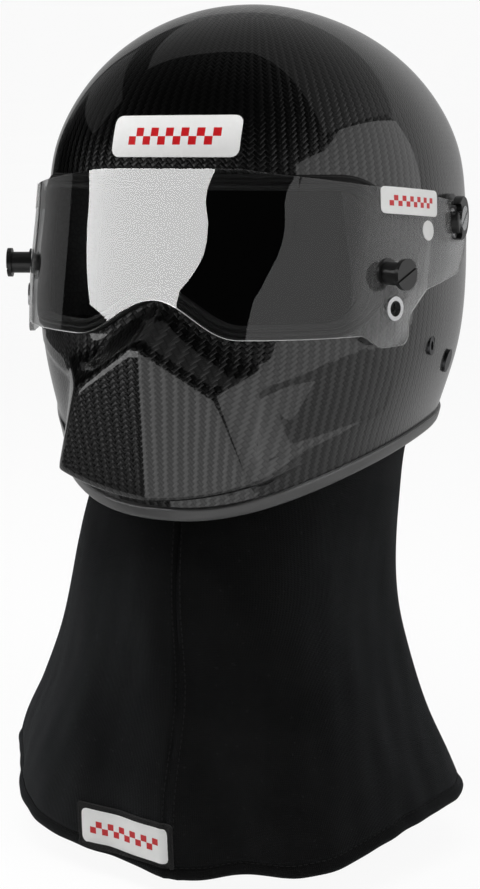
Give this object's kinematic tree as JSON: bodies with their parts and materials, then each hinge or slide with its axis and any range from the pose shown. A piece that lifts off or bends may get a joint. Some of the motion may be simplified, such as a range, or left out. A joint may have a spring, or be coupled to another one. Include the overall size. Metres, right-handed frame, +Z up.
{
  "type": "auto racing helmet",
  "caption": "Full-face auto racing helmet with a hinged clear shield, tear-off posts, padded lining, restraint anchors and a knitted neck skirt.",
  "frame": {"origin": "head-form reference point: on the centre plane, level with the shield pivots, at the widest level section of the shell", "axes": "+Z up towards the crown, -Y out of the eyeport, +X towards the wearer's left"},
  "size_m": [0.2758, 0.3216, 0.4592],
  "materials": {
    "carbon": "woven carbon under a clear gloss coat",
    "trim_rubber": "satin black rubber",
    "seal_rubber": "matte black rubber",
    "knit": "black double-layer knit",
    "hook_tape": "black hook and loop tape",
    "webbing": "black woven webbing",
    "lining_cloth": "black brushed lining cloth",
    "foam": "dark bead foam",
    "black_plastic": "satin black moulded plastic",
    "smoke_plastic": "dark translucent moulded plastic",
    "clear_shield": "clear hard-coated sheet",
    "label_vinyl": "printed vinyl",
    "dot_vinyl": "plain pale sticker",
    "bright_aluminium": "turned, bright",
    "steel": "plated"
  },
  "bodies": {
    "helmet": {"outer_shell": "carbon", "base_trim": "trim_rubber", "eyeport_gasket": "seal_rubber", "forehead_label": "label_vinyl", "neck_skirt": "knit", "skirt_band": "hook_tape", "skirt_label": "label_vinyl", "strap_rivets": "steel", "crown_foam_liner": "foam", "crown_comfort_pad": "lining_cloth", "brow_comfort_pad": "lining_cloth", "nape_comfort_pad": "lining_cloth", "chin_foam_liner": "foam", "cheek_pad_left": "lining_cloth", "cheek_pad_right": "lining_cloth", "pivot_base_left": "black_plastic", "pivot_base_right": "black_plastic", "detent_stud_left": "black_plastic", "detent_stud_right": "black_plastic", "restraint_anchor_left": "steel", "restraint_anchor_right": "steel"},
    "visor": {"visor_shield": "clear_shield", "visor_dots": "dot_vinyl", "ratchet_screws": "steel", "ratchet_plate_left": "smoke_plastic", "ratchet_plate_right": "smoke_plastic", "pivot_cap_left": "black_plastic", "pivot_cap_right": "black_plastic", "pivot_screws": "bright_aluminium", "tear_off_post_left": "black_plastic", "tear_off_post_right": "black_plastic", "tear_off_bolts": "steel", "detent_ring_left": "bright_aluminium", "detent_ring_right": "bright_aluminium", "visor_label_left": "label_vinyl", "visor_label_right": "label_vinyl"},
    "strap_left": {"chin_strap_left": "webbing", "strap_hanger_left": "steel"},
    "strap_right": {"chin_strap_right": "webbing", "strap_hanger_right": "steel"},
    "strap_rings": {"d_rings": "steel"}
  },
  "joints": [
    {"name": "visor_hinge", "type": "hinge", "parent": "helmet", "child": "visor", "pos_m": [0, -0.0145, 0.001], "axis": [-1, 0, 0], "range_deg": [0, 50]},
    {"name": "strap_swing_left", "type": "hinge", "parent": "helmet", "child": "strap_left", "pos_m": [0.097, 0.0075, -0.08], "axis": [-1, 0, 0], "range_deg": [0, 25]},
    {"name": "strap_swing_right", "type": "hinge", "parent": "helmet", "child": "strap_right", "pos_m": [-0.097, 0.0075, -0.08], "axis": [-1, 0, 0], "range_deg": [0, 25]},
    {"name": "ring_swing", "type": "hinge", "parent": "strap_right", "child": "strap_rings", "pos_m": [-0.0531, 0.0075, -0.1945], "axis": [0, 1, 0], "range_deg": [-25, 25]}
  ]
}
